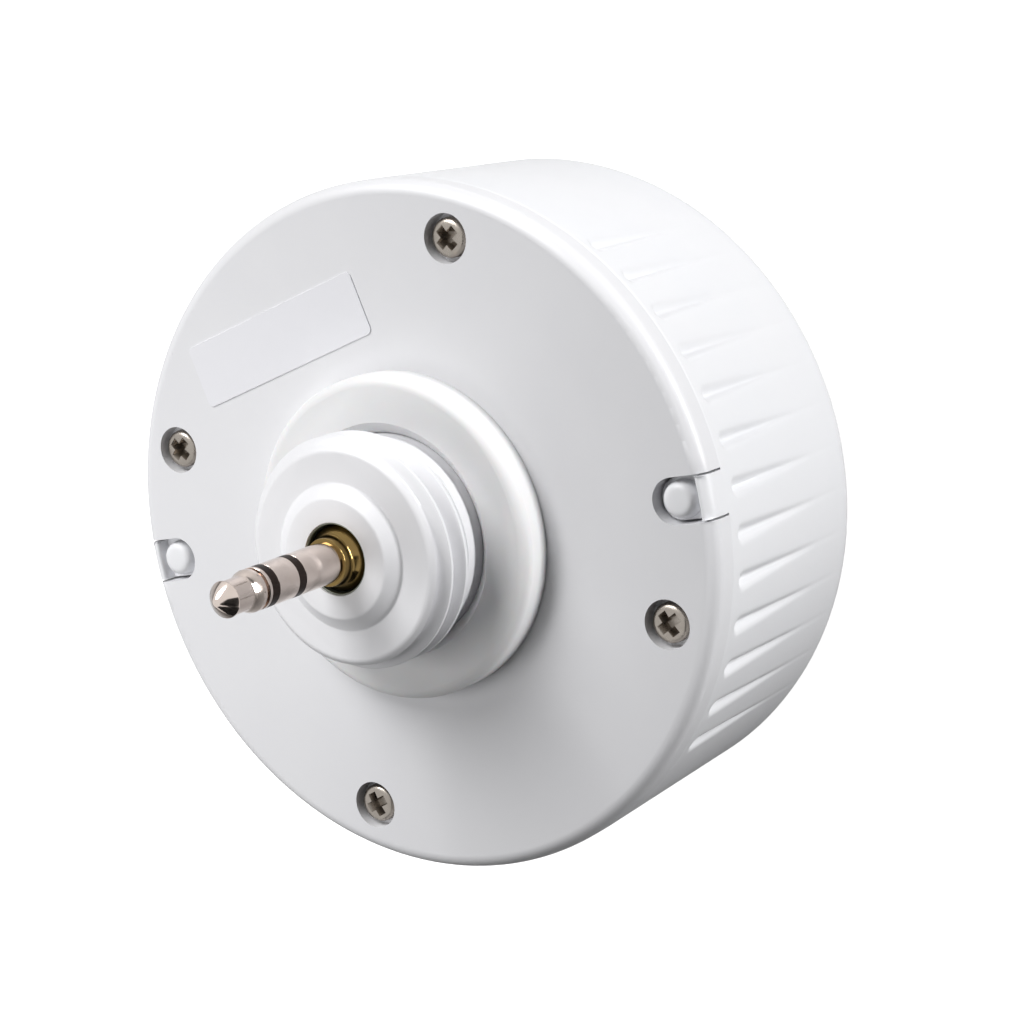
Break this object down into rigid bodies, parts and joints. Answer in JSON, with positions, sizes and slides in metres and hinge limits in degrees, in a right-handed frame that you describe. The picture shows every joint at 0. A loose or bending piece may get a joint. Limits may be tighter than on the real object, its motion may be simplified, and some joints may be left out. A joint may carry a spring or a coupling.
{
  "type": "occupancy sensor",
  "caption": "Round white plug-in ceiling occupancy sensor with a screw-in neck, an audio-type plug and a domed infrared lens.",
  "frame": {"origin": "on the neck's axis, in the plane where the neck gasket meets the light fitting", "axes": "+Z along the neck and the plug into the fitting, +X towards one housing key, the lens looks along -Z"},
  "size_m": [0.06, 0.06, 0.0599],
  "materials": {
    "housing_plastic": "moulded ABS, fine satin",
    "cover_plastic": "moulded ABS, fine satin",
    "silicone": "white silicone, soft matt",
    "seal_rubber": "dark seal rubber",
    "lens_plastic": "milky polyethylene, fine grooves",
    "screw_steel": "nickel plated, bright",
    "plug_nickel": "nickel plated, polished",
    "plug_brass": "turned brass, bright",
    "plug_insulator": "black insulator",
    "board": "green solder mask",
    "chip_black": "black moulded package",
    "header_black": "black connector plastic",
    "pin_gold": "gold plated pin",
    "can_steel": "nickel plated can",
    "can_aluminium": "bare can",
    "window_dark": "dark infrared filter",
    "ceramic_tan": "bare ceramic",
    "lamp_red": "tinted lamp",
    "receiver_black": "dark receiver",
    "sensor_clear": "clear sensor package",
    "label_film": "bare white film"
  },
  "bodies": {
    "root": {"rear_cover": "cover_plastic", "front_housing": "housing_plastic", "neck_gasket": "silicone", "housing_seal": "seal_rubber", "cover_screws": "screw_steel", "plug_tip": "plug_nickel", "plug_front_insulator": "plug_insulator", "plug_ring": "plug_nickel", "plug_rear_insulator": "plug_insulator", "plug_sleeve": "plug_nickel", "plug_collar": "plug_brass", "plug_board": "board", "header_housing": "header_black", "header_socket": "header_black", "header_pins": "pin_gold", "plug_board_screws": "screw_steel", "main_board": "board", "main_board_screws": "screw_steel", "detector_spacer": "header_black", "detector_can": "can_steel", "detector_window": "window_dark", "light_sensor": "sensor_clear", "status_light": "lamp_red", "remote_receiver": "receiver_black", "microcontroller": "chip_black", "signal_amplifier": "chip_black", "voltage_regulator": "chip_black", "power_capacitors": "can_aluminium", "ceramic_capacitors": "ceramic_tan", "resistors": "chip_black", "lens_dome": "lens_plastic", "lens_seal": "seal_rubber", "lens_retainer": "housing_plastic", "back_label": "label_film"}
  },
  "joints": []
}
